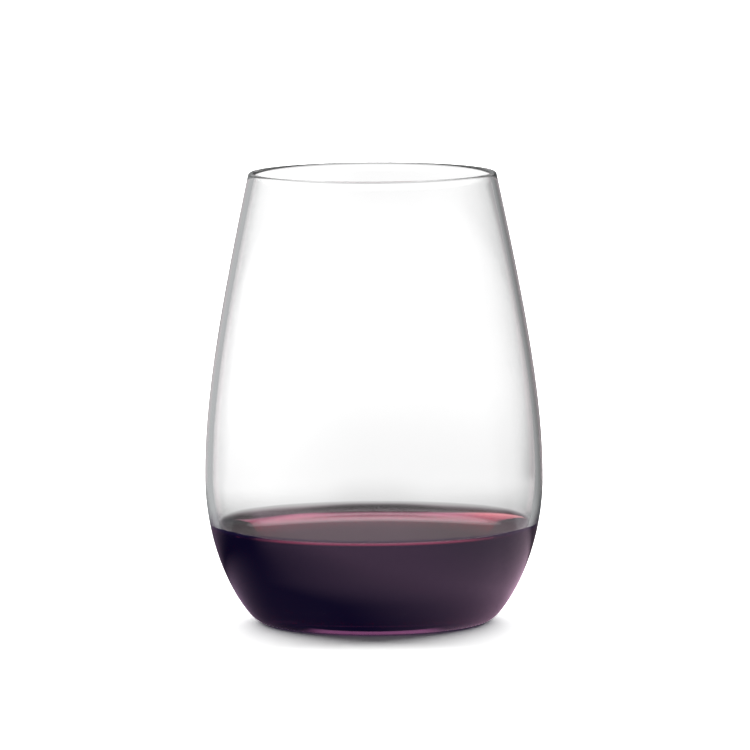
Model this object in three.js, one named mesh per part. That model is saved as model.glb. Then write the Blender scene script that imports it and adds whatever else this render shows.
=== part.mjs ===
// A stemless, tulip-shaped tasting glass holding a short pour of red wine. Millimetres, +Z up.
//
// The glass is one blown piece. Its bowl rises from a small foot ring round a rounded heel, swells to
// a belly low down and draws in to a fire-polished rim. The wall is thin at the rim and grows slowly
// downward, and the cavity turns in a tight round from the wall to a nearly flat floor. The wine stands
// in the cavity and climbs the wall at its edge, as surface tension makes it.
//
// The origin lies on the table at the centre of the foot ring.

import * as THREE from 'three';

// Outside of the glass
const HEIGHT = 98;
const RIM_DIAMETER = 54;
const BELLY_DIAMETER = 73.5;
const BELLY_HEIGHT = 31.7;
const FOOT_DIAMETER = 46.2;
const FOOT_RING_WIDTH = 2.4;
const PUNT_DEPTH = 0.8;
const HEEL_RADIUS = 5.3;

// Lean of the wall from the vertical: inward at the rim, and outward where the heel's round ends
const RIM_LEAN = THREE.MathUtils.degToRad(12);
const HEEL_LEAN = THREE.MathUtils.degToRad(43.2);

// Fullness of a curve: how far it carries on in the direction of one end, as a share of its rise
const RIM_FULLNESS = 0.49;
const SHOULDER_FULLNESS = 0.24;
const BELLY_FULLNESS = 0.49;
const HEEL_FULLNESS = 0.187;

// Thickness of the glass, and the cavity inside it
const RIM_WALL = 1.4;
const BELLY_WALL = 1.6;
const HEEL_WALL = 2.2;
const FLOOR_WALL = 1.6;

// Turn of the cavity from wall to floor: its place, as a share of the lower wall from the heel up, how
// far the floor carries on from it, as a share of its drop, and from the axis, as a share of its radius
const TURN_PLACE = 0.3;
const TURN_FULLNESS = 1.4;
const FLOOR_FULLNESS = 0.65;

// Wine: its level, the length over which its edge's climb dies away, the slope of its surface where it
// meets the wall, and the film's width between wine and glass
const WINE_LEVEL = 19.4;
const CAPILLARY_LENGTH = 2.2;
const EDGE_SLOPE = THREE.MathUtils.degToRad(70);
const WET_CLEARANCE = 0.3;

// Facets round the axis, and steps along each curve of a profile
const FACETS = 72;
const PUNT_STEPS = 3;
const HEEL_STEPS = 5;
const LOWER_STEPS = 10;
const UPPER_STEPS = 12;
const RIM_STEPS = 6;
const CAVITY_WALL_STEPS = 6;
const FLOOR_STEPS = 12;
const WINE_WALL_STEPS = 18;
const MENISCUS_STEPS = 8;
const LEVEL_SEARCH_HALVINGS = 40;

// Points of a profile, as radius and height
const point = (radius, height) => new THREE.Vector2(radius, height);
const heading = (leanOutward) => point(Math.sin(leanOutward), Math.cos(leanOutward));
const along = (start, direction, length) => start.clone().addScaledVector(direction, length);

const UP = heading(0);
const DOWN = UP.clone().negate();
const footRadius = FOOT_DIAMETER / 2;
const upperRise = HEIGHT - BELLY_HEIGHT;
const floorHeight = PUNT_DEPTH + FLOOR_WALL;

/** Shallow dome under the foot, from the axis to the inner edge of the foot ring. */
function puntCurve() {
  const edgeRadius = footRadius - FOOT_RING_WIDTH;
  const domeRadius = (edgeRadius ** 2 + PUNT_DEPTH ** 2) / (2 * PUNT_DEPTH);
  const edgeAngle = Math.acos(edgeRadius / domeRadius);
  return new THREE.EllipseCurve(
    0, PUNT_DEPTH - domeRadius, domeRadius, domeRadius, Math.PI / 2, edgeAngle, true);
}

/** Round from the foot ring up to the leaning wall. */
function heelCurve() {
  return new THREE.EllipseCurve(
    footRadius, HEEL_RADIUS, HEEL_RADIUS, HEEL_RADIUS, -Math.PI / 2, -HEEL_LEAN, false);
}

/** Outer wall from the end of the heel's round up to the belly. */
function lowerOuterCurve() {
  const belly = point(BELLY_DIAMETER / 2, BELLY_HEIGHT);
  const heelEnd = point(
    footRadius + HEEL_RADIUS * Math.cos(HEEL_LEAN), HEEL_RADIUS - HEEL_RADIUS * Math.sin(HEEL_LEAN));
  const rise = BELLY_HEIGHT - heelEnd.y;
  return new THREE.CubicBezierCurve(
    heelEnd,
    along(heelEnd, heading(HEEL_LEAN), HEEL_FULLNESS * rise),
    along(belly, DOWN, BELLY_FULLNESS * rise),
    belly);
}

/** Upper wall from the belly to the rim, at the given inset from the outside. */
function upperCurve(bellyInset, rimEnd) {
  const belly = point(BELLY_DIAMETER / 2 - bellyInset, BELLY_HEIGHT);
  return new THREE.CubicBezierCurve(
    belly,
    along(belly, UP, SHOULDER_FULLNESS * upperRise),
    along(rimEnd, heading(-RIM_LEAN), -RIM_FULLNESS * upperRise),
    rimEnd);
}

/** Fire-polished edge: a half round as thick as the wall, square to the leaning wall. */
function rimCurve() {
  const round = RIM_WALL / 2;
  const centreRadius = RIM_DIAMETER / 2 - round * Math.cos(RIM_LEAN);
  return new THREE.EllipseCurve(
    centreRadius, HEIGHT - round, round, round, RIM_LEAN, RIM_LEAN + Math.PI, false);
}

/** Cavity below the belly: its wall down to the turn, and its floor from there to the axis. */
function cavityCurves() {
  const outside = lowerOuterCurve();
  const rising = outside.getTangent(TURN_PLACE);
  const inward = point(-rising.y, rising.x);
  const turn = along(outside.getPoint(TURN_PLACE), inward, HEEL_WALL);
  const belly = point(BELLY_DIAMETER / 2 - BELLY_WALL, BELLY_HEIGHT);
  const rise = belly.y - turn.y;
  const drop = turn.y - floorHeight;
  const wall = new THREE.CubicBezierCurve(
    belly,
    along(belly, DOWN, BELLY_FULLNESS * rise),
    along(turn, rising, HEEL_FULLNESS * rise),
    turn);
  const floor = new THREE.CubicBezierCurve(
    turn,
    along(turn, rising, -TURN_FULLNESS * drop),
    point(FLOOR_FULLNESS * turn.x, floorHeight),
    point(0, floorHeight));
  return { wall, floor };
}

/** The same curve run from its other end. */
function reversed(curve) {
  return new THREE.CubicBezierCurve(curve.v3, curve.v2, curve.v1, curve.v0);
}

/** Points along a chain of curves, each given with its number of steps, with no point twice. */
function chain(...legs) {
  const points = [];
  for (const [curve, steps] of legs) {
    const first = points.length > 0 ? 1 : 0;
    points.push(...curve.getPoints(steps).slice(first));
  }
  return points;
}

/** Solid of revolution about +Z whose profile starts and ends on the axis. */
function revolve(profile) {
  profile[0].x = 0;
  profile.at(-1).x = 0;
  return new THREE.LatheGeometry(profile, FACETS).rotateX(Math.PI / 2);
}

/** The blown glass: foot, heel, outer wall, rim, inner wall and cavity floor in one closed profile. */
function glassBowl() {
  const punt = puntCurve();
  const heel = heelCurve();
  const rim = rimCurve();
  const footRing = new THREE.LineCurve(punt.getPoint(1), heel.getPoint(0));
  const outerWall = upperCurve(0, rim.getPoint(0));
  const innerWall = reversed(upperCurve(BELLY_WALL, rim.getPoint(1)));
  const cavity = cavityCurves();
  const profile = chain(
    [punt, PUNT_STEPS],
    [footRing, 1],
    [heel, HEEL_STEPS],
    [lowerOuterCurve(), LOWER_STEPS],
    [outerWall, UPPER_STEPS],
    [rim, RIM_STEPS],
    [innerWall, UPPER_STEPS],
    [cavity.wall, CAVITY_WALL_STEPS],
    [cavity.floor, FLOOR_STEPS]);
  const clearGlass = new THREE.MeshStandardMaterial({
    color: 0xeef2f3, roughness: 0.04, metalness: 0, transparent: true, opacity: 0.35 });
  const mesh = new THREE.Mesh(revolve(profile), clearGlass);
  mesh.name = 'glass_bowl';
  return mesh;
}

/** Point of the wine's wall: the cavity's wall, moved inward by the clearance. */
function wetPoint(cavity, share) {
  const direction = cavity.getTangent(share);
  return along(cavity.getPoint(share), point(direction.y, -direction.x), WET_CLEARANCE);
}

/** Share of the way from rim to floor at which the wine's wall has the given height. */
function shareAtHeight(cavity, height) {
  let above = 0;
  let below = 1;
  for (let i = 0; i < LEVEL_SEARCH_HALVINGS; i += 1) {
    const middle = (above + below) / 2;
    if (wetPoint(cavity, middle).y > height) above = middle;
    else below = middle;
  }
  return below;
}

/** Point of the edge that climbs the wall, by its surface's slope: distance from the wall, and climb. */
function meniscusPoint(slope) {
  const turns = Math.log(Math.tan(EDGE_SLOPE / 4) / Math.tan(slope / 4));
  const shift = 2 * (Math.cos(slope / 2) - Math.cos(EDGE_SLOPE / 2));
  return point(turns - shift, 2 * Math.sin(slope / 2)).multiplyScalar(CAPILLARY_LENGTH);
}

/** The pour: it follows the cavity up to its edge, and its free surface is level in the middle. */
function redWine() {
  const { wall, floor } = cavityCurves();
  const cavity = new THREE.CurvePath();
  cavity.add(reversed(upperCurve(BELLY_WALL, rimCurve().getPoint(1))));
  cavity.add(wall);
  cavity.add(floor);

  const edgeShare = shareAtHeight(cavity, WINE_LEVEL + meniscusPoint(EDGE_SLOPE).y);
  const profile = [];
  for (let i = 0; i <= WINE_WALL_STEPS; i += 1) {
    profile.push(wetPoint(cavity, THREE.MathUtils.lerp(1, edgeShare, i / WINE_WALL_STEPS)));
  }
  const edge = profile.at(-1);
  for (let i = 1; i <= MENISCUS_STEPS; i += 1) {
    const slope = EDGE_SLOPE * (1 - i / (MENISCUS_STEPS + 1)) ** 2;
    const climb = meniscusPoint(slope);
    profile.push(point(edge.x - climb.x, WINE_LEVEL + climb.y));
  }
  profile.push(point(0, WINE_LEVEL));

  const wine = new THREE.MeshStandardMaterial({ color: 0x32121f, roughness: 0.08, metalness: 0 });
  const mesh = new THREE.Mesh(revolve(profile), wine);
  mesh.name = 'red_wine';
  return mesh;
}

const tastingGlass = new THREE.Group();
tastingGlass.name = 'tasting_glass';
tastingGlass.add(glassBowl(), redWine());

export default tastingGlass;
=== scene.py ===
"""A stemless tasting glass holding a pour of red wine, dressed for a product picture on a white table.

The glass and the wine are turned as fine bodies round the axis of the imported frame. The wine wets the
glass, so the two share one optical boundary: the glass carries a second finish where it is wet, and the
wine bends light only at its free surface. Units are metres, +Z is up and -Y faces the camera.
"""

from __future__ import annotations

import logging
import math
from collections.abc import Sequence
from dataclasses import dataclass, field
from enum import Enum
from typing import Any

import bpy
from mathutils import Euler, Matrix, Vector


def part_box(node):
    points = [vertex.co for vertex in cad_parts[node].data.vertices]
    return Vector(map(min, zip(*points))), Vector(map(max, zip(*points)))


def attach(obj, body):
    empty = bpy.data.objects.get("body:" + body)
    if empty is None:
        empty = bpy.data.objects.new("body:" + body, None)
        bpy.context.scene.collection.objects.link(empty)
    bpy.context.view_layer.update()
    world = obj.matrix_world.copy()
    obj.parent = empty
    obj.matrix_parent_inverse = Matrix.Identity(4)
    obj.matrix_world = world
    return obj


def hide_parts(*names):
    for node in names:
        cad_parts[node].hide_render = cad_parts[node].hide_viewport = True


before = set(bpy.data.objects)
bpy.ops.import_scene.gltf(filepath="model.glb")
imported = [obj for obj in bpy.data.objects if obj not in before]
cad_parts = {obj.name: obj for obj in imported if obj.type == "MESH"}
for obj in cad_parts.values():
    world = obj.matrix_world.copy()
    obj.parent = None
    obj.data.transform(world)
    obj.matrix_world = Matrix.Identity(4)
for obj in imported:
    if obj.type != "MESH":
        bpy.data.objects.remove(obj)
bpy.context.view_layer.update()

LOG = logging.getLogger("tasting_glass")
MM = 0.001

Socket = bpy.types.NodeSocket
Span = tuple[float, float]
Colour = tuple[float, float, float, float]
BLACK: Colour = (0.0, 0.0, 0.0, 1.0)
WHITE: Colour = (1.0, 1.0, 1.0, 1.0)

# Steps along the stretches of the glass's profile
DOME_STEPS = 12
HEEL_STEPS = 16
LOWER_STEPS = 48
UPPER_STEPS = 72
RIM_STEPS = 20
DRY_CAVITY_STEPS = 16
WET_STEPS = 80

# Steps along the wine's free surface: up its edge, where they crowd toward the level part, and over that
EDGE_STEPS = 32
EDGE_CROWDING = 1.6
LEVEL_STEPS = 8
LEVEL_FLATTENING = 4
SHARP_ANGLE = math.radians(30)

# Radius under which a point lies on the axis, and halvings in the search for a height
ON_AXIS = 1e-7
HALVINGS = 48

# Most turns of a ray, in all and by mirroring
LIGHT_BOUNCES = 32
MIRROR_BOUNCES = 16


class Wall(Enum):
    """Which medium lies against a stretch of the glass; the value is its material slot."""

    DRY = 0
    WET = 1


class WineFace(Enum):
    """Where a stretch of the wine's surface lies; the value says how far it bends light."""

    AGAINST_GLASS = 0.0
    FREE = 1.0


class By(Enum):
    """What a step is read by, at a place on the table or in a direction."""

    DISTANCE = "distance from the axis"
    RIGHT = "part to the right"
    REAR = "part to the rear"
    HEIGHT = "part upward"
    ASIDE = "part to either side"


def spread(first: float, last: float, steps: int) -> list[float]:
    """Values at even steps from the first to the last, both included."""
    return [first + (last - first) * i / steps for i in range(steps + 1)]


def lean(angle: float) -> Vector:
    """Upward direction that leans outward by an angle from the vertical."""
    return Vector((math.sin(angle), math.cos(angle)))


def grey(level: float) -> Colour:
    """Neutral colour of a brightness."""
    return (level, level, level, 1.0)


def arc(centre: Vector, radius: float, start: float, end: float, steps: int) -> list[Vector]:
    """Samples a circular arc of a profile.

    Args:
        centre: Centre, as radius and height.
        radius: Radius of the arc.
        start: Start angle from the outward direction, in radians.
        end: End angle.
        steps: Number of steps.

    Returns:
        The points, both ends included.
    """
    angles = spread(start, end, steps)
    return [centre + radius * Vector((math.cos(angle), math.sin(angle))) for angle in angles]


def placed(name: str, data: bpy.types.ID) -> bpy.types.Object:
    """Adds an object to the scene.

    Args:
        name: Its name.
        data: Its mesh, light or camera.

    Returns:
        The object.
    """
    made = bpy.data.objects.new(name, data)
    bpy.context.collection.objects.link(made)
    return made


@dataclass(frozen=True)
class Bezier:
    """A cubic curve of a profile, in radius and height.

    Attributes:
        start: First point.
        leave: Handle of the first point.
        arrive: Handle of the last point.
        end: Last point.
    """

    start: Vector
    leave: Vector
    arrive: Vector
    end: Vector

    def at(self, share: float) -> Vector:
        """Finds a point of the curve.

        Args:
            share: 0 at the start, 1 at the end.

        Returns:
            The point, as radius and height.
        """
        rest = 1.0 - share
        return (
            self.start * rest**3
            + self.leave * (3 * share * rest**2)
            + self.arrive * (3 * share**2 * rest)
            + self.end * share**3
        )

    def heading(self, share: float) -> Vector:
        """Finds the unit direction of travel at a point of the curve.

        Args:
            share: 0 at the start, 1 at the end.

        Returns:
            The direction, as radius and height.
        """
        rest = 1.0 - share
        slope = (
            (self.leave - self.start) * rest**2
            + (self.arrive - self.leave) * (2 * share * rest)
            + (self.end - self.arrive) * share**2
        )
        return slope.normalized()

    def points(self, steps: int) -> list[Vector]:
        """Points of the curve at even shares, both ends included."""
        return [self.at(share) for share in spread(0.0, 1.0, steps)]


@dataclass(frozen=True)
class Chain:
    """Curves of a profile that follow each other downward without a kink.

    Attributes:
        legs: The curves, in order.
    """

    legs: tuple[Bezier, ...]

    @property
    def end(self) -> float:
        """Share at the end of the last curve."""
        return float(len(self.legs))

    def leg(self, share: float) -> tuple[Bezier, float]:
        """Finds the curve at a share of the chain.

        Args:
            share: 0 at the start of the first curve, 1 at its end, and so on.

        Returns:
            The curve, and the share along it.
        """
        number = min(int(share), len(self.legs) - 1)
        return self.legs[number], share - number

    def at(self, share: float) -> Vector:
        """Point at a share of the chain."""
        curve, own = self.leg(share)
        return curve.at(own)

    def inward(self, share: float) -> Vector:
        """Unit direction square to the chain, into the cavity that it bounds from outside."""
        curve, own = self.leg(share)
        return -curve.heading(own).orthogonal()

    def share_at(self, height: float) -> float:
        """Finds where the chain passes a height.

        Args:
            height: The height.

        Returns:
            The share of the chain.
        """
        above, below = 0.0, self.end
        for _ in range(HALVINGS):
            middle = (above + below) / 2
            if self.at(middle).y > height:
                above = middle
            else:
                below = middle
        return below


@dataclass(frozen=True)
class Turning:
    """A profile that is turned round +Z into a mesh.

    Attributes:
        points: Points of the profile, in order, with outward to the right of the direction of travel.
        marks: One mark for each stretch between two points, which says what the stretch is.
        facets: Facets round the axis.
    """

    points: Sequence[Vector]
    marks: Sequence[Enum]
    facets: int = 192

    def mesh(self, name: str) -> bpy.types.Mesh:
        """Turns the profile into a smooth closed mesh.

        Args:
            name: Name of the mesh.

        Returns:
            The mesh, whose faces come ring by ring in the order of the marks.
        """
        corners: list[tuple[float, float, float]] = []
        rings: list[list[int]] = []
        for point in self.points:
            count = 1 if point.x < ON_AXIS else self.facets
            rings.append(list(range(len(corners), len(corners) + count)))
            for i in range(count):
                angle = math.tau * i / self.facets
                corners.append((point.x * math.cos(angle), point.x * math.sin(angle), point.y))
        faces = [face for low, high in zip(rings, rings[1:]) for face in self.band(low, high)]
        mesh = bpy.data.meshes.new(name)
        mesh.from_pydata(corners, [], faces)
        mesh.shade_smooth()
        mesh.validate()
        return mesh

    def band(self, low: Sequence[int], high: Sequence[int]) -> list[tuple[int, ...]]:
        """Joins two neighbouring rings by faces.

        Args:
            low: Corner numbers of the earlier ring, one of them where it lies on the axis.
            high: Corner numbers of the later ring.

        Returns:
            The faces, one for each facet.
        """
        faces: list[tuple[int, ...]] = []
        for i in range(self.facets):
            j = (i + 1) % self.facets
            if len(low) == 1:
                faces.append((low[0], high[j], high[i]))
            elif len(high) == 1:
                faces.append((low[i], low[j], high[0]))
            else:
                faces.append((low[i], low[j], high[j], high[i]))
        return faces

    def face_marks(self) -> list[Enum]:
        """The mark of each face of the mesh, in the mesh's order."""
        return [mark for mark in self.marks for _ in range(self.facets)]


@dataclass(frozen=True)
class Step:
    """A soft step from one value to another.

    Attributes:
        low: Reading at which it starts.
        high: Reading at which it ends.
        first: Value up to the start.
        last: Value from the end on.
        by: What a spot reads it by.
    """

    low: float | Socket
    high: float | Socket
    first: float | Socket = 0.0
    last: float | Socket = 1.0
    by: By = By.DISTANCE


Steps = tuple[Step, ...]


class NodeGraph:
    """A node tree that is being filled."""

    def __init__(self, tree: bpy.types.NodeTree) -> None:
        """Takes over a tree and clears it.

        Args:
            tree: The material's or the world's node tree.
        """
        self.tree = tree
        tree.nodes.clear()

    def add(
        self, kind: str, inputs: dict[str | int, Any] | None = None, **settings: Any
    ) -> bpy.types.Node:
        """Adds a node.

        Args:
            kind: Type of the node, without the prefix that all shader nodes share.
            inputs: Values or sockets for its inputs, by name or number.
            **settings: Properties of the node.

        Returns:
            The new node.
        """
        node = self.tree.nodes.new("ShaderNode" + kind)
        for key, value in settings.items():
            setattr(node, key, value)
        for key, value in (inputs or {}).items():
            if isinstance(value, Socket):
                self.tree.links.new(value, node.inputs[key])
            else:
                node.inputs[key].default_value = value
        return node

    def math(self, operation: str, *values: Any) -> Socket:
        """Adds a Math node, or a row of them that carries the operation on through more numbers.

        Args:
            operation: Name of the operation.
            *values: Its operands.

        Returns:
            The result's socket.
        """
        if len(values) > 2:
            values = (self.math(operation, *values[:-1]), values[-1])
        return self.add("Math", dict(enumerate(values)), operation=operation).outputs[0]

    def vector(self, operation: str, *values: Any) -> Socket:
        """Vector that a Vector Math node makes."""
        return self.add("VectorMath", dict(enumerate(values)), operation=operation).outputs[0]

    def length(self, vector: Any) -> Socket:
        """Length of a vector."""
        return self.add("VectorMath", {0: vector}, operation="LENGTH").outputs["Value"]

    def parts(self, vector: Any) -> tuple[Socket, ...]:
        """The three parts of a vector."""
        return tuple(self.add("SeparateXYZ", {0: vector}).outputs)

    def scaled(self, colour: Any, level: Any) -> Socket:
        """Colour times a brightness."""
        return self.add("VectorMath", {0: colour, "Scale": level}, operation="SCALE").outputs[0]

    def at_least(self, count: Any, number: int) -> Socket:
        """1 where a count is at least a number, else 0."""
        return self.math("GREATER_THAN", count, number - 0.5)

    def fewer(self, count: Any, number: int) -> Socket:
        """1 where a count is under a number, else 0."""
        return self.math("LESS_THAN", count, number - 0.5)

    def step(self, value: Any, step: Step) -> Socket:
        """Value of a soft step for a reading."""
        inputs = dict(enumerate((value, step.low, step.high, step.first, step.last)))
        return self.add("MapRange", inputs, interpolation_type="SMOOTHSTEP").outputs["Result"]

    def blend(self, share: Any, first: Any, second: Any) -> Socket:
        """Blend of two numbers, whose share is 0 for the first and 1 for the second."""
        return self.add("Mix", {0: share, 2: first, 3: second}, data_type="FLOAT").outputs[0]

    def mix_colour(self, share: Any, first: Any, second: Any) -> Socket:
        """Blend of two colours, whose share is 0 for the first and 1 for the second."""
        return self.add("Mix", {0: share, 6: first, 7: second}, data_type="RGBA").outputs[2]


def new_material(name: str) -> tuple[bpy.types.Material, NodeGraph]:
    """Makes a material that has no nodes yet.

    Args:
        name: Its name.

    Returns:
        The material, and its graph to fill.
    """
    material = bpy.data.materials.new(name)
    material.use_nodes = True
    return material, NodeGraph(material.node_tree)


@dataclass(frozen=True)
class ClearGlass:
    """Blown soda-lime glass, fire-polished, with the faint waviness of a mould.

    Attributes:
        name: Name of the material.
        ior: Index of refraction against what lies on the glass there.
        wave_length: Distance over which the wall wavers.
        wave_height: Height of the waver.
        wave_detail: Finer waves in it.
        wave_roughness: Strength of the finer waves.
    """

    name: str = "blown_glass"
    ior: float = 1.5
    wave_length: float = 22 * MM
    wave_height: float = 0.012 * MM
    wave_detail: float = 1.0
    wave_roughness: float = 0.4

    def material(self) -> bpy.types.Material:
        """Makes the glass material.

        Returns:
            The material.
        """
        material, graph = new_material(self.name)
        noise = {
            "Vector": graph.add("TexCoord").outputs["Object"],
            "Scale": 1 / self.wave_length,
            "Detail": self.wave_detail,
            "Roughness": self.wave_roughness,
        }
        waves = graph.add("TexNoise", noise).outputs[0]
        waver = graph.add("Bump", {"Height": waves, "Strength": 1.0, "Distance": self.wave_height})
        polish = {
            "Base Color": WHITE,
            "Roughness": 0.0,
            "IOR": self.ior,
            "Transmission Weight": 1.0,
            "Normal": waver.outputs[0],
        }
        graph.add("OutputMaterial", {"Surface": graph.add("BsdfPrincipled", polish).outputs[0]})
        return material


@dataclass(frozen=True)
class RedWine:
    """Young red wine: clear, deep purple in bulk and pink where it is thin.

    Attributes:
        name: Name of the material.
        ior: Index of refraction of the free surface.
        thin_colour: Colour that the absorption tends to.
        density: Strength of the absorption, per metre.
        painted_haze_glow: Painted faint violet glow, seen from outside, in place of light that the wine
            scatters.
        edge_glow: Painted pink glow at its thin edge, seen from outside, in place of light through the
            thin wine.
        edge_height: Height of the middle of that edge.
        edge_width: Half the edge's width.
        edge_front: Share of that painted glow, from side to front, so that the front glows most.
        foot_glow: Painted magenta glow at its lowest turn, seen from outside.
        foot_height: Height of the middle of that turn.
        foot_below: How far under its middle the turn's glow ends.
        foot_above: How far over its middle it ends, from side to front.
        foot_front: Share of that painted glow, from side to front, so that the front glows most.
    """

    name: str = "red_wine"
    ior: float = 1.34
    thin_colour: Colour = (0.72, 0.20, 0.40, 1.0)
    density: float = 560.0
    # Colours of painted glow, given off by the wine as emission
    painted_haze_glow: Colour = (0.0039, 0.0027, 0.0150, 1.0)
    edge_glow: Colour = (0.215, 0.041, 0.077, 1.0)
    edge_height: float = 21.05 * MM
    edge_width: float = 0.46 * MM
    edge_front: Step = Step(0.6, 0.98)
    foot_glow: Colour = (0.235, 0.078, 0.19, 1.0)
    foot_height: float = 2.74 * MM
    foot_below: float = 0.17 * MM
    foot_above: Step = Step(0.75, 0.97, 0.2 * MM, 0.45 * MM)
    foot_front: Step = Step(0.65, 0.92, 0.5, 1.0)

    def material(self) -> bpy.types.Material:
        """Makes the wine material.

        Returns:
            The material.
        """
        material, graph = new_material(self.name)
        material.cycles.emission_sampling = "NONE"
        free = graph.add("Attribute", attribute_name=WinePour.FREE_MARK).outputs["Fac"]
        surface = {
            "Base Color": WHITE,
            "Roughness": 0.0,
            "IOR": graph.blend(free, 1.0, self.ior),
            "Transmission Weight": 1.0,
            # Painted glow, given off as emission in place of light that the wine scatters
            "Emission Color": self.painted_glow(graph, free),
            "Emission Strength": 1.0,
        }
        shader = graph.add("BsdfPrincipled", surface).outputs[0]
        depth = graph.add("VolumeAbsorption", {"Color": self.thin_colour, "Density": self.density})
        graph.add("OutputMaterial", {"Surface": shader, "Volume": depth.outputs[0]})
        return material

    def painted_glow(self, graph: NodeGraph, free: Socket) -> Socket:
        """Finds the painted glow, in place of light that the wine scatters outward: faint all over, more
        at its edge and turn.

        Args:
            graph: The material's graph.
            free: 1 on the free surface, 0 against the glass.

        Returns:
            The socket of the painted glow's colour.
        """
        place = graph.add("TexCoord").outputs["Object"]
        height = graph.parts(place)[2]
        level = graph.vector("MULTIPLY", place, (1.0, -1.0, 0.0))
        front = graph.parts(graph.vector("NORMALIZE", level))[1]
        behind = graph.add("NewGeometry").outputs["Backfacing"]
        outside = graph.math("SUBTRACT", 1.0, graph.math("MAXIMUM", free, behind))
        off_edge = graph.math("ABSOLUTE", graph.math("SUBTRACT", height, self.edge_height))
        # Painted pink glow along the edge, strongest at the front
        edge = graph.math(
            "MULTIPLY",
            outside,
            graph.step(off_edge, Step(0.0, self.edge_width, 1.0, 0.0)),
            graph.step(front, self.edge_front),
        )
        # Painted magenta glow at the lowest turn, strongest and tallest at the front
        over_foot = graph.math("SUBTRACT", height, self.foot_height)
        above = graph.step(front, self.foot_above)
        foot = graph.math(
            "MULTIPLY",
            outside,
            graph.step(over_foot, Step(-self.foot_below, 0.0)),
            graph.step(over_foot, Step(0.0, above, 1.0, 0.0)),
            graph.step(front, self.foot_front),
        )
        # Painted glow: faint violet all over the outside, pink at the edge, magenta at the turn
        painted_haze_glow = graph.mix_colour(outside, BLACK, self.painted_haze_glow)
        glow = graph.mix_colour(edge, painted_haze_glow, self.edge_glow)
        return graph.mix_colour(foot, glow, self.foot_glow)


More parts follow.
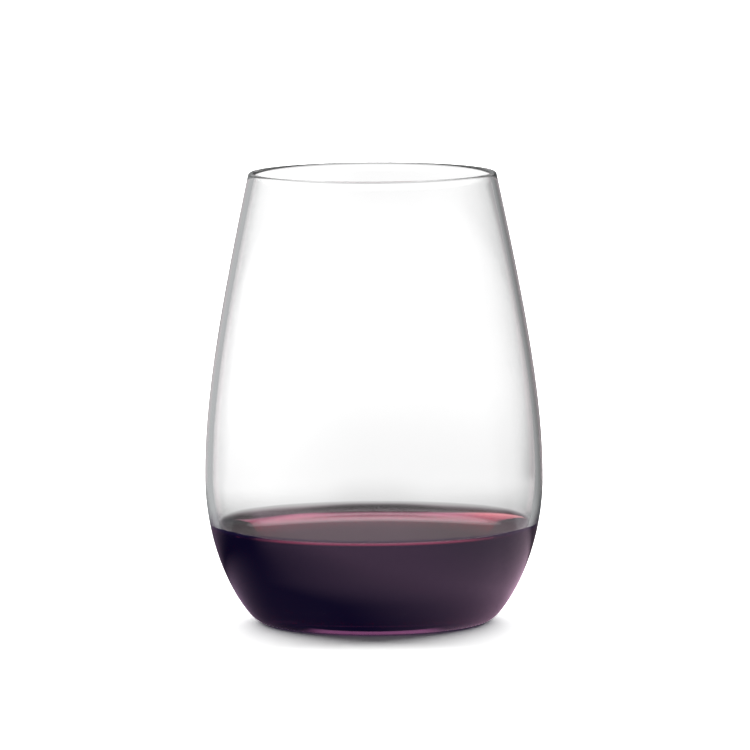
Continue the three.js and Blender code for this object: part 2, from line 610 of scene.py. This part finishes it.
@dataclass(frozen=True)
class BowlForm:
    """Shape of the glass: its sizes, and the curves of its profile.

    Attributes:
        belly_diameter: Outside, at the widest.
        height: Table to the top of the rim.
        rim_diameter: Outside, at the mouth.
        belly_height: Table to the widest point.
        foot_diameter: Outside of the flat foot ring.
        foot_ring_width: Width of that ring.
        punt_depth: Rise of the shallow dome under the foot.
        heel_radius: Round from the foot ring to the wall.
        rim_lean: Inward lean of the wall at the rim.
        heel_lean: Outward lean of the wall where the heel's round ends.
        rim_fullness: How far the upper wall carries on from the rim, as a share of its rise.
        shoulder_fullness: How far it carries on from the belly.
        belly_fullness: How far the lower wall carries on from the belly.
        heel_fullness: How far it carries on from the heel.
        rim_wall: Thickness at the rim.
        belly_wall: Thickness at the belly.
        heel_wall: Thickness where the cavity turns from wall to floor.
        floor_wall: Thickness of the cavity's floor over the dome.
        turn_place: Where that turn lies, as a share of the lower wall from its heel.
        turn_fullness: How far the floor carries on from the turn, as a share of its drop.
        floor_fullness: How far it carries on from the axis, as a share of the turn's radius.
    """

    belly_diameter: float
    height: float = 98 * MM
    rim_diameter: float = 54 * MM
    belly_height: float = 31.7 * MM
    foot_diameter: float = 46.2 * MM
    foot_ring_width: float = 2.4 * MM
    punt_depth: float = 0.8 * MM
    heel_radius: float = 5.3 * MM
    rim_lean: float = math.radians(12)
    heel_lean: float = math.radians(43.2)
    rim_fullness: float = 0.49
    shoulder_fullness: float = 0.24
    belly_fullness: float = 0.49
    heel_fullness: float = 0.187
    rim_wall: float = 1.4 * MM
    belly_wall: float = 1.6 * MM
    heel_wall: float = 2.2 * MM
    floor_wall: float = 1.6 * MM
    turn_place: float = 0.3
    turn_fullness: float = 1.4
    floor_fullness: float = 0.65

    @property
    def floor_height(self) -> float:
        """Table to the lowest point of the cavity."""
        return self.punt_depth + self.floor_wall

    def under_foot(self) -> list[Vector]:
        """Draws the dome under the foot and the flat ring round it.

        Returns:
            The points, from the axis outward.
        """
        edge = self.foot_diameter / 2 - self.foot_ring_width
        dome = (edge**2 + self.punt_depth**2) / (2 * self.punt_depth)
        centre = Vector((0.0, self.punt_depth - dome))
        rise = arc(centre, dome, math.pi / 2, math.acos(edge / dome), DOME_STEPS)
        return rise + [Vector((self.foot_diameter / 2, 0.0))]

    def heel(self) -> list[Vector]:
        """The round of the heel, from the foot ring to the wall."""
        centre = Vector((self.foot_diameter / 2, self.heel_radius))
        return arc(centre, self.heel_radius, -math.pi / 2, -self.heel_lean, HEEL_STEPS)

    def lower_wall(self) -> Bezier:
        """Draws the outer wall below the belly.

        Returns:
            The curve, from the end of the heel's round up.
        """
        heel_end = self.heel()[-1]
        belly = Vector((self.belly_diameter / 2, self.belly_height))
        rise = belly.y - heel_end.y
        return Bezier(
            heel_end,
            heel_end + lean(self.heel_lean) * (self.heel_fullness * rise),
            belly - lean(0.0) * (self.belly_fullness * rise),
            belly,
        )

    def upper_wall(self, inset: float, rim_end: Vector) -> Bezier:
        """Draws the upper wall, outside or inside.

        Args:
            inset: Distance from the outside at the belly.
            rim_end: Where the wall meets the rim's round.

        Returns:
            The curve, from the belly up.
        """
        belly = Vector((self.belly_diameter / 2 - inset, self.belly_height))
        rise = self.height - self.belly_height
        return Bezier(
            belly,
            belly + lean(0.0) * (self.shoulder_fullness * rise),
            rim_end - lean(-self.rim_lean) * (self.rim_fullness * rise),
            rim_end,
        )

    def rim(self) -> list[Vector]:
        """Draws the fire-polished round of the rim.

        Returns:
            The points, from outside to inside.
        """
        round_off = self.rim_wall / 2
        across = self.rim_diameter / 2 - round_off * math.cos(self.rim_lean)
        centre = Vector((across, self.height - round_off))
        return arc(centre, round_off, self.rim_lean, self.rim_lean + math.pi, RIM_STEPS)

    def cavity(self) -> Chain:
        """Draws the cavity below the belly.

        Returns:
            The wall, down to the turn, and the floor from there to the axis.
        """
        outside = self.lower_wall()
        along = outside.heading(self.turn_place)
        turn = outside.at(self.turn_place) + along.orthogonal() * self.heel_wall
        belly = Vector((self.belly_diameter / 2 - self.belly_wall, self.belly_height))
        rise = belly.y - turn.y
        wall = Bezier(
            belly,
            belly - lean(0.0) * (self.belly_fullness * rise),
            turn + along * (self.heel_fullness * rise),
            turn,
        )
        floor = Bezier(
            turn,
            turn - along * (self.turn_fullness * (turn.y - self.floor_height)),
            Vector((self.floor_fullness * turn.x, self.floor_height)),
            Vector((0.0, self.floor_height)),
        )
        return Chain((wall, floor))


@dataclass
class GlassBowl:
    """The blown glass.

    Attributes:
        form: Its shape.
        waterline: Height at which the wine meets the wall.
        dry: Finish of the glass against air.
        wet: Finish of the glass against wine.
        piece: The object, once it is built.
    """

    form: BowlForm
    waterline: float
    dry: ClearGlass
    wet: ClearGlass
    piece: bpy.types.Object | None = field(default=None, init=False)

    NODE = "glass_bowl"
    SLOT = "clear_glass"

    def turning(self) -> Turning:
        """Draws the closed profile of the glass.

        Returns:
            The profile, from the axis under the foot round the rim to the axis in the cavity.
        """
        rim = self.form.rim()
        cavity = self.form.cavity()
        share = cavity.share_at(self.waterline)
        points = self.form.under_foot()
        for leg in (
            self.form.heel(),
            self.form.lower_wall().points(LOWER_STEPS),
            self.form.upper_wall(0.0, rim[0]).points(UPPER_STEPS),
            rim,
            self.form.upper_wall(self.form.belly_wall, rim[-1]).points(UPPER_STEPS)[::-1],
            [cavity.at(place) for place in spread(0.0, share, DRY_CAVITY_STEPS)],
        ):
            points += leg[1:]
        marks = [Wall.DRY] * (len(points) - 1) + [Wall.WET] * WET_STEPS
        points += [cavity.at(place) for place in spread(share, cavity.end, WET_STEPS)[1:]]
        return Turning(points, marks)

    def build(self) -> None:
        """Turns the glass and gives each face its slot."""
        turning = self.turning()
        mesh = turning.mesh("glass_bowl_blown")
        self.piece = placed(mesh.name, mesh)
        mesh.polygons.foreach_set("material_index", [mark.value for mark in turning.face_marks()])

    def dress(self) -> None:
        """Gives the glass its two finishes and fits it to the frame."""
        for finish in (self.dry, self.wet):
            self.piece.data.materials.append(finish.material())
        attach(self.piece, "root")
        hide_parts(self.NODE)


@dataclass
class WinePour:
    """The wine in the bowl.

    Attributes:
        form: Shape of the glass that holds it.
        level: Height of the level surface in the middle.
        capillary_length: Length over which the edge's climb dies away.
        edge_slope: Slope of the surface where it meets the wall.
        film: Distance kept from the glass.
        finish: The wine's finish.
        piece: The object, once it is built.
    """

    form: BowlForm
    level: float = 19.4 * MM
    capillary_length: float = 2.2 * MM
    edge_slope: float = math.radians(70)
    film: float = 0.02 * MM
    finish: RedWine = RedWine()
    piece: bpy.types.Object | None = field(default=None, init=False)

    NODE = "red_wine"
    SLOT = "wine"
    FREE_MARK = "free_surface"

    def climb(self, slope: float) -> Vector:
        """Finds a point of the edge that climbs the wall, by the balance of weight and surface tension.

        Args:
            slope: Slope of the surface at the point.

        Returns:
            How far the point lies from the wall, and how high above the level surface.
        """
        turns = math.log(math.tan(self.edge_slope / 4) / math.tan(slope / 4))
        shift = 2 * (math.cos(slope / 2) - math.cos(self.edge_slope / 2))
        return Vector((turns - shift, 2 * math.sin(slope / 2))) * self.capillary_length

    @property
    def waterline(self) -> float:
        """Height at which the wine's edge meets the wall."""
        return self.level + self.climb(self.edge_slope).y

    def turning(self) -> Turning:
        """Draws the closed profile of the wine.

        Returns:
            The profile, from the axis at the floor round the edge to the axis at the surface.
        """
        cavity = self.form.cavity()
        shares = spread(cavity.end, cavity.share_at(self.waterline), WET_STEPS)
        wall = [cavity.at(share) + cavity.inward(share) * self.film for share in shares]
        wall[0].x = 0.0
        edge = wall[-1]
        surface = []
        for i in range(1, EDGE_STEPS + 1):
            away = self.climb(self.edge_slope * (1 - i / (EDGE_STEPS + 1)) ** EDGE_CROWDING)
            surface.append(Vector((edge.x - away.x, self.level + away.y)))
        flat = surface[-1]
        for i in range(1, LEVEL_STEPS + 1):
            rest = 1 - i / LEVEL_STEPS
            rise = (flat.y - self.level) * rest**LEVEL_FLATTENING
            surface.append(Vector((flat.x * rest, self.level + rise)))
        marks = [WineFace.AGAINST_GLASS] * WET_STEPS + [WineFace.FREE] * len(surface)
        return Turning(wall + surface, marks)

    def build(self) -> None:
        """Turns the wine and marks its free surface."""
        turning = self.turning()
        mesh = turning.mesh("red_wine_pour")
        self.piece = placed(mesh.name, mesh)
        free = mesh.attributes.new(self.FREE_MARK, "FLOAT", "FACE")
        free.data.foreach_set("value", [mark.value for mark in turning.face_marks()])
        mesh.set_sharp_from_angle(angle=SHARP_ANGLE)

    def dress(self) -> None:
        """Gives the wine its finish and fits it to the frame."""
        self.piece.data.materials.append(self.finish.material())
        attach(self.piece, "root")
        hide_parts(self.NODE)


class Spot:
    """A place on the table, or a direction, with the readings that steps are read by.

    Attributes:
        graph: The graph that is being filled.
        place: The place or direction.
        readings: Its readings.
        crossings: Number of surfaces that the ray has passed through.
    """

    def __init__(self, graph: NodeGraph, place: Socket) -> None:
        """Takes the readings.

        Args:
            graph: The graph that is being filled.
            place: The place, from the axis, or the unit direction.
        """
        self.graph = graph
        self.place = place
        right, rear, height = graph.parts(place)
        aside = graph.math("ABSOLUTE", right)
        self.readings = dict(zip(By, (graph.length(place), right, rear, height, aside)))
        self.crossings = graph.add("LightPath").outputs["Transmission Depth"]

    def direction(self, aside: float = 0.0) -> Spot:
        """Direction of the place from a point that lies aside of the axis, to the right."""
        shifted = self.graph.vector("SUBTRACT", self.place, (aside, 0.0, 0.0))
        return Spot(self.graph, self.graph.vector("NORMALIZE", shifted))

    def step(self, step: Step) -> Socket:
        """Value of a step here."""
        return self.graph.step(self.readings[step.by], step)

    def work(self, operation: str, steps: Steps) -> Socket:
        """Result of a Math operation on two or more steps here."""
        return self.graph.math(operation, *map(self.step, steps))


@dataclass(frozen=True)
class Room:
    """The dim room round the table, as glass mirrors it.

    Attributes:
        tint: Cool cast of the room.
        near: Brightness of the camera's side.
        walls: Brightness from there to the left wall, then the changes to the right wall, to a card
            that stands at the right and to the dark beyond it.
        rear: Share of the walls, from front to rear.
        card_aside: How far the card stands from the glass, where the table shows it.
        sector: Share of what lies straight behind the glass.
        rear_glow: Table straight behind the glass, mirrored by the wine.
        horizon_glow: End of that table.
        sky_glow: Room just above it.
    """

    tint: tuple[float, float, float] = (0.97, 1.0, 1.01)
    near: float = 0.27
    walls: Steps = (
        Step(-1.0, -0.8, 0.27, 0.465, By.RIGHT),
        Step(-0.2, 0.3, 0.0, -0.3, By.RIGHT),
        Step(0.35, 0.5, 0.0, 0.18, By.RIGHT),
        Step(0.55, 0.9, 0.0, -0.315, By.RIGHT),
    )
    rear: Step = Step(-0.1, 0.15, by=By.REAR)
    card_aside: float = 30 * MM
    sector: Steps = (Step(0.15, 0.3, 1.0, 0.0, By.ASIDE), Step(0.0, 0.2, by=By.REAR))
    rear_glow: Colour = (0.92, 0.73, 0.78, 1.0)
    horizon_glow: Colour = (0.55, 0.47, 0.50, 1.0)
    sky_glow: Colour = (0.23, 0.19, 0.205, 1.0)

    def light(self, toward: Spot) -> Socket:
        """Colour of the room near the horizon, in a direction."""
        level = toward.graph.blend(toward.step(self.rear), self.near, toward.work("ADD", self.walls))
        return toward.graph.scaled(self.tint, level)

    def past_table(self, spot: Spot) -> Socket:
        """Colour of the room beyond a place on the table."""
        return self.light(spot.direction(self.card_aside))

    def straight_behind(self, toward: Spot) -> Socket:
        """1 in the narrow sector straight behind the glass, and 0 outside it."""
        return toward.work("MULTIPLY", self.sector)


@dataclass(frozen=True)
class ClearView:
    """The white table as clear glass shows it, with the soft ring of the glass's own shade.

    Attributes:
        shift: How far the shade draws in at its middle, and spreads at its left.
        shade: Its paler outer part.
        core: Change from there to its darkest part.
        gleam: Light that the glass gathers on the table.
        gleam_start: Where that light starts.
        gleam_right: How much farther it reaches at the right.
        gleam_left: Where it ends at the left, along a slant.
        slant: Lean of that slant.
        dip: Share that the light loses in its middle.
        dry_white: Table near the glass where no wine lies in the way.
        white: Brightness of the table from left to middle, and the change to its right.
        turned: Share of that at the right, in a direction where the white sweep turns away.
        turned_drift: How far that direction drifts.
        turned_far: Where the sweep starts to turn away.
        turned_rear: Directions in which it does.
        lift: Share of the brightness farther off.
        lift_end: Where that ends.
        ruby: Colour of the light that comes through the wine.
        ruby_where: Where that light lies.
        wine_crossings: Fewest surfaces on a way through the wine.
    """

    shift: Steps = (
        Step(4 * MM, 18 * MM, -18 * MM, 0.0, By.ASIDE),
        Step(-60 * MM, 0.0, 20 * MM, 0.0, By.RIGHT),
    )
    shade: Step = Step(98 * MM, 255 * MM, 0.5, 1.0)
    core: Step = Step(60 * MM, 112 * MM, -0.45, 0.0)
    gleam: Step = Step(48 * MM, 57 * MM, 1.1, 0.0)
    gleam_start: Step = Step(23 * MM, 31 * MM)
    gleam_right: Step = Step(12 * MM, 28 * MM, 0.0, 8 * MM, By.RIGHT)
    gleam_left: Step = Step(-40.3 * MM, -34.3 * MM, by=By.RIGHT)
    slant: float = 0.43
    dip: Steps = (Step(43 * MM, 46.5 * MM, 0.0, 0.5), Step(6 * MM, 13 * MM, 1.0, 0.0, By.ASIDE))
    dry_white: Step = Step(90 * MM, 135 * MM, 1.0, 0.0)
    white: Steps = (
        Step(-70 * MM, 0.0, 1.27, 1.05, By.RIGHT),
        Step(20 * MM, 60 * MM, 0.0, 0.04, By.RIGHT),
    )
    turned: Step = Step(0.19, 0.42, 1.0, 0.42, By.RIGHT)
    turned_drift: Step = Step(1.2, 2.4, 0.0, 0.1)
    turned_far: Step = Step(0.23, 0.30)
    turned_rear: Step = Step(0.87, 0.93, by=By.REAR)
    lift: Step = Step(0.28, 0.5, 1.0, 1.13)
    lift_end: Step = Step(0.9, 1.2)
    ruby: Colour = (1.0, 0.47, 0.47, 1.0)
    ruby_where: Steps = (Step(62 * MM, 75 * MM, 1.0, 0.0), Step(13 * MM, 22 * MM, by=By.RIGHT))
    wine_crossings: int = 6

    def colour(self, spot: Spot) -> Socket:
        """Finds the table's colour.

        Args:
            spot: The place on the table.

        Returns:
            The socket of the colour.
        """
        graph = spot.graph
        reach = graph.math("ADD", spot.readings[By.DISTANCE], spot.work("ADD", self.shift))
        shade = graph.step(reach, self.shade)
        shaded = graph.math("ADD", shade, graph.step(reach, self.core))
        wet = graph.math("MAXIMUM", shaded, self.gathered(spot))
        dry = graph.math("MAXIMUM", shade, spot.step(self.dry_white))
        through_wine = graph.at_least(spot.crossings, self.wine_crossings)
        ring = graph.blend(through_wine, dry, wet)
        level = graph.math("MULTIPLY", ring, spot.work("ADD", self.white), self.sweep(spot))
        ruby = graph.math("MULTIPLY", through_wine, spot.work("MULTIPLY", self.ruby_where))
        return graph.scaled(graph.mix_colour(ruby, WHITE, self.ruby), level)

    def gathered(self, spot: Spot) -> Socket:
        """Finds the light that the glass gathers.

        Args:
            spot: The place on the table.

        Returns:
            The socket of its brightness.
        """
        graph = spot.graph
        reach = graph.math("SUBTRACT", spot.readings[By.DISTANCE], spot.step(self.gleam_right))
        slanted = graph.math("MULTIPLY", spot.readings[By.REAR], self.slant)
        slanted = graph.math("SUBTRACT", spot.readings[By.RIGHT], slanted)
        ends = (graph.step(reach, self.gleam), graph.step(slanted, self.gleam_left))
        undipped = graph.math("SUBTRACT", 1.0, spot.work("MULTIPLY", self.dip))
        return graph.math("MULTIPLY", *ends, undipped, spot.step(self.gleam_start))

    def sweep(self, spot: Spot) -> Socket:
        """Finds how white the table is farther off, where it lifts a little and then turns away.

        Args:
            spot: The place on the table.

        Returns:
            The socket of the share of its brightness.
        """
        graph, toward = spot.graph, spot.direction()
        right = graph.math("ADD", toward.readings[By.RIGHT], spot.step(self.turned_drift))
        turns = graph.math("MULTIPLY", spot.step(self.turned_far), toward.step(self.turned_rear))
        turned = graph.blend(turns, 1.0, graph.step(right, self.turned))
        lift = graph.blend(spot.step(self.lift_end), spot.step(self.lift), 1.0)
        return graph.math("MULTIPLY", turned, lift)


@dataclass(frozen=True)
class OutsideMirror:
    """The table as the glass's outside mirrors it: its painted glow round a dark oval of painted shade,
    then the room.

    Attributes:
        oval_left: How far the oval's centre lies to the left.
        oval_width: Half the oval's width.
        oval_depth: Half its depth.
        oval_start: Share of the oval at which the glow starts.
        oval_end: Share of the oval at which it is full.
        oval_power: How slowly it grows.
        lit: Shares of the glow at the front and at the right.
        losses: Shares that are left at the rear and from the sides on.
        to_side: Change of its colour toward the side's.
        table_glow: Colour of the glow.
        side_glow: The same far to the right.
        left_glow: Fainter light at the left, within the oval.
        left_near: Share of that near the glass, from front to rear.
        left_far: Least share of it toward the rear.
        left_side: Its right end.
        room_start: Where the room begins.
    """

    oval_left: float = 40 * MM
    oval_width: float = 65 * MM
    oval_depth: float = 52 * MM
    oval_start: Step = Step(33 * MM, 45 * MM, 0.75, 0.25)
    oval_end: float = 1.22
    oval_power: float = 1.6
    lit: Steps = (
        Step(-35 * MM, -10 * MM, 1.0, 0.0, By.REAR),
        Step(-40 * MM, -5 * MM, by=By.RIGHT),
    )
    losses: Steps = (
        Step(42 * MM, 75 * MM, 1.0, 0.14, By.REAR),
        Step(-14 * MM, 0.0, 1.0, 0.87, By.REAR),
    )
    to_side: Step = Step(15 * MM, 75 * MM, by=By.RIGHT)
    table_glow: Colour = (1.12, 0.69, 0.98, 1.0)
    side_glow: Colour = (0.76, 0.55, 0.67, 1.0)
    left_glow: Colour = (0.37, 0.25, 0.37, 1.0)
    left_near: Steps = (Step(34 * MM, 72 * MM, 1.0, 0.0), Step(-20 * MM, 21 * MM, 0.1, 1.0, By.REAR))
    left_far: Step = Step(20 * MM, 80 * MM, 0.0, 0.42, By.REAR)
    left_side: Step = Step(-18 * MM, 0.0, 1.0, 0.0, By.RIGHT)
    room_start: Step = Step(125 * MM, 165 * MM)

    def colour(self, spot: Spot, room: Room) -> Socket:
        """Finds the table's colour.

        Args:
            spot: The place on the table.
            room: The room beyond it.

        Returns:
            The socket of the colour.
        """
        graph = spot.graph
        left = graph.math("MAXIMUM", spot.work("MULTIPLY", self.left_near), spot.step(self.left_far))
        left = graph.math("MULTIPLY", left, spot.step(self.left_side))
        rest = graph.mix_colour(left, BLACK, self.left_glow)
        glow = graph.mix_colour(spot.step(self.to_side), self.table_glow, self.side_glow)
        near = graph.mix_colour(self.glowing(spot), rest, glow)
        return graph.mix_colour(spot.step(self.room_start), near, room.past_table(spot))

    def glowing(self, spot: Spot) -> Socket:
        """Finds how far the table glows.

        Args:
            spot: The place on the table.

        Returns:
            The socket of the share.
        """
        graph = spot.graph
        shifted = graph.vector("ADD", spot.place, (self.oval_left, 0.0, 0.0))
        oval = (1 / self.oval_width, 1 / self.oval_depth, 0.0)
        away = graph.length(graph.vector("MULTIPLY", shifted, oval))
        start = spot.step(self.oval_start)
        whole = graph.math("SUBTRACT", self.oval_end, start)
        grown = graph.math("DIVIDE", graph.math("SUBTRACT", away, start), whole)
        grown = graph.math("MINIMUM", graph.math("MAXIMUM", grown, 0.0), 1.0)
        grown = graph.math("POWER", grown, self.oval_power)
        lit = graph.math("MULTIPLY", grown, spot.work("MAXIMUM", self.lit))
        return graph.math("MULTIPLY", lit, spot.work("MULTIPLY", self.losses))


@dataclass(frozen=True)
class InsideMirror:
    """The table as the wine and the inner walls mirror it: dark, then the room, and the table's rear.

    Attributes:
        dark: Distances between which the dark ends, for the wine.
        wall_dark: The same for light that stays within the glass's wall.
        wall_crossings: Number of surfaces under which light has stayed there.
        wall_rear: Share of that light toward the rear.
        beside: Brightness of the table close to the glass's right.
        beside_near: How far that reaches, in light that stays within the wall.
        beside_right: Directions in which it does.
        rear_start: Where the table's rear begins.
        rear_end: Change toward its end.
    """

    dark: Span = (80 * MM, 200 * MM)
    wall_dark: Span = (60 * MM, 88 * MM)
    wall_crossings: int = 4
    wall_rear: Step = Step(0.1, 0.3, by=By.REAR)
    beside: Step = Step(0.42, 0.8, 0.165, 0.5, By.RIGHT)
    beside_near: Step = Step(150 * MM, 230 * MM, 1.0, 0.0)
    beside_right: Step = Step(0.3, 0.42, by=By.RIGHT)
    rear_start: Step = Step(100 * MM, 160 * MM)
    rear_end: Step = Step(0.3, 1.0)

    def colour(self, spot: Spot, room: Room) -> Socket:
        """Finds the table's colour.

        Args:
            spot: The place on the table.
            room: The room beyond it.

        Returns:
            The socket of the colour.
        """
        graph, toward = spot.graph, spot.direction()
        in_wall = graph.fewer(spot.crossings, self.wall_crossings)
        in_wall = graph.math("MULTIPLY", in_wall, toward.step(self.wall_rear))
        start, end = (graph.blend(in_wall, *ends) for ends in zip(self.dark, self.wall_dark))
        close = graph.math("MULTIPLY", spot.step(self.beside_near), toward.step(self.beside_right))
        close = graph.math("MULTIPLY", close, in_wall)
        beside = graph.scaled(room.tint, toward.step(self.beside))
        around = graph.mix_colour(close, room.past_table(spot), beside)
        around = graph.mix_colour(spot.step(Step(start, end)), BLACK, around)
        behind = graph.mix_colour(spot.step(self.rear_end), room.rear_glow, room.horizon_glow)
        share = graph.math("MULTIPLY", room.straight_behind(toward), spot.step(self.rear_start))
        return graph.mix_colour(share, around, behind)


@dataclass(frozen=True)
class Studio:
    """White table, and the light round it.

    Glass shows the studio by what it does to a ray: a ray that it lets through meets the white table
    with the soft dark ring of the glass's shade on it, and a ray that it mirrors meets the dim room.

    Attributes:
        floor_half: Half the floor's side.
        floor_drop: Distance of the table under the foot ring, which leaves it optically free.
        sun_azimuth: Angle of each soft light from straight behind the glass.
        sun_elevation: Height of the soft lights.
        sun_angle: Width of the soft lights.
        bare_white: Brightness of the table to the camera.
        fill: Light from all round.
        sky: Change from the end of the table to the room above it.
        high_room: Brightness of the room higher up, mirrored by the glass's outside.
        high_start: Heights between which that begins.
        upper_room: Brightness of the room higher up, mirrored by the glass's inside and the wine.
        upper_start: Heights between which that begins.
        ceiling: Brightness of the soft light overhead.
        ceiling_start: Heights between which that begins.
        room: The room round the table.
        clear_view: The table seen through the glass.
        outside: The table mirrored by its outside.
        inside: The table mirrored by its inside and the wine.
    """

    floor_half: float = 6.0
    floor_drop: float = 0.02 * MM
    sun_azimuth: float = math.radians(40)
    sun_elevation: float = math.radians(41)
    sun_angle: float = math.radians(60)
    bare_white: float = 2.3
    fill: float = 0.07
    sky: Step = Step(0.0, 0.13, by=By.HEIGHT)
    high_room: float = 0.95
    high_start: Span = (0.13, 0.24)
    upper_room: float = 0.35
    upper_start: Span = (0.17, 0.30)
    ceiling: float = 1.2
    ceiling_start: Span = (0.45, 0.6)
    room: Room = Room()
    clear_view: ClearView = ClearView()
    outside: OutsideMirror = OutsideMirror()
    inside: InsideMirror = InsideMirror()

    def build(self) -> None:
        """Lays the floor, lights the world and hangs the soft lights."""
        self.lay_floor()
        self.light_world()
        for side in (-1, 1):
            self.hang_sun(side)

    def hang_sun(self, side: int) -> None:
        """Hangs one of the two soft lights behind the glass, which light the table alone.

        Args:
            side: -1 for the left, 1 for the right.
        """
        data = bpy.data.lights.new("rear_softbox", "SUN")
        # Each gives a level table half the light at which white shows as white
        data.energy = math.pi / 2 / math.sin(self.sun_elevation)
        data.angle = self.sun_angle
        sun = placed("rear_softbox", data)
        flat = math.cos(self.sun_elevation)
        across = side * flat * math.sin(self.sun_azimuth)
        toward = Vector((across, flat * math.cos(self.sun_azimuth), math.sin(self.sun_elevation)))
        sun.rotation_euler = toward.to_track_quat("Z", "Y").to_euler()
        sun.visible_glossy = False
        sun.visible_transmission = False

    def lay_floor(self) -> None:
        """Lays the table top: white to the camera, and as the studio shows it to the glass."""
        mesh = bpy.data.meshes.new("table_top")
        half, low = self.floor_half, -self.floor_drop
        corners = [(-half, -half, low), (half, -half, low), (half, half, low), (-half, half, low)]
        mesh.from_pydata(corners, [], [(0, 1, 2, 3)])
        floor = placed("table_top", mesh)
        material, graph = new_material("table_paper")
        material.cycles.emission_sampling = "NONE"
        path = graph.add("LightPath").outputs
        spot = Spot(graph, graph.add("NewGeometry").outputs["Position"])
        outside = self.outside.colour(spot, self.room)
        inside = self.inside.colour(spot, self.room)
        mirrored = graph.mix_colour(graph.at_least(spot.crossings, 1), outside, inside)
        mirror = graph.at_least(path["Glossy Depth"], 1)
        level = graph.mix_colour(mirror, self.clear_view.colour(spot), mirrored)
        clear = graph.fewer(path["Diffuse Depth"], 1)
        shown = graph.add("Emission", {"Color": level, "Strength": clear}).outputs[0]
        lit = graph.add("BsdfDiffuse", {"Color": grey(self.bare_white)}).outputs[0]
        shader = graph.add("MixShader", {0: path["Is Camera Ray"], 1: shown, 2: lit})
        graph.add("OutputMaterial", {"Surface": shader.outputs[0]})
        mesh.materials.append(material)

    def light_world(self) -> None:
        """Lights the scene faintly from all round, and shows glass a dim room under a soft light."""
        world = bpy.data.worlds.new("studio")
        world.use_nodes = True
        bpy.context.scene.world = world
        graph = NodeGraph(world.node_tree)
        path = graph.add("LightPath").outputs
        toward = Spot(graph, graph.add("TexCoord").outputs["Generated"])
        within = graph.at_least(toward.crossings, 1)
        rear = graph.mix_colour(toward.step(self.sky), self.room.horizon_glow, self.room.sky_glow)
        behind = graph.math("MULTIPLY", self.room.straight_behind(toward), within)
        band = graph.mix_colour(behind, self.room.light(toward), rear)
        over = graph.blend(within, self.high_room, self.upper_room)
        upper = toward.step(Step(*self.ceiling_start, over, self.ceiling, By.HEIGHT))
        start, end = (graph.blend(within, *ends) for ends in zip(self.high_start, self.upper_start))
        mirrored = graph.mix_colour(toward.step(Step(start, end, by=By.HEIGHT)), band, upper)
        seen = graph.mix_colour(graph.at_least(path["Glossy Depth"], 1), WHITE, mirrored)
        kinds = [path[f"Is {kind} Ray"] for kind in ("Glossy", "Transmission", "Camera")]
        optical = graph.math("MAXIMUM", *kinds)
        optical = graph.math("MULTIPLY", optical, graph.fewer(path["Diffuse Depth"], 1))
        level = graph.mix_colour(optical, grey(self.fill), seen)
        shader = graph.add("Background", {"Color": level, "Strength": 1.0})
        graph.add("OutputWorld", {"Surface": shader.outputs[0]})


@dataclass(frozen=True)
class PhotoCamera:
    """The photograph's camera.

    Attributes:
        distance: From the glass's axis, along -Y.
        height: Above the table.
        aside: To the right of the axis.
        pitch: Downward tilt.
        roll: Turn about the line of sight.
        lens: Focal length in millimetres.
        sensor: Width of the sensor in millimetres.
    """

    distance: float = 1.829
    height: float = 0.2461
    aside: float = 0.35 * MM
    pitch: float = math.radians(6.004)
    roll: float = math.radians(-0.3244)
    lens: float = 406.28
    sensor: float = 36.0

    def build(self) -> None:
        """Places the camera and makes it the scene's own."""
        data = bpy.data.cameras.new("photo_camera")
        data.lens = self.lens
        data.sensor_width = self.sensor
        camera = placed("photo_camera", data)
        place = Matrix.Translation((self.aside, -self.distance, self.height))
        tilt = Euler((math.pi / 2 - self.pitch, 0.0, 0.0)).to_matrix().to_4x4()
        camera.matrix_world = place @ tilt @ Matrix.Rotation(self.roll, 4, "Z")
        bpy.context.scene.camera = camera


def main() -> None:
    """Builds the glass, the wine and the studio, and reports each piece."""
    logging.basicConfig(level=logging.INFO, format="%(name)s: %(message)s")
    scene = bpy.context.scene
    scene.view_settings.view_transform = "Standard"
    scene.cycles.max_bounces = LIGHT_BOUNCES
    scene.cycles.transmission_bounces = LIGHT_BOUNCES
    scene.cycles.glossy_bounces = MIRROR_BOUNCES

    low, high = (Vector(corner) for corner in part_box(GlassBowl.NODE))
    form = BowlForm(belly_diameter=high.x - low.x)
    pour = WinePour(form)
    dry = ClearGlass()
    wet = ClearGlass("wetted_glass", dry.ior / pour.finish.ior)
    bowl = GlassBowl(form, pour.waterline, dry, wet)
    for part in (bowl, pour):
        part.build()
        part.dress()
        LOG.info("%s: %d faces", part.piece.name, len(part.piece.data.polygons))

    Studio().build()
    PhotoCamera().build()


if __name__ == "__main__":
    main()
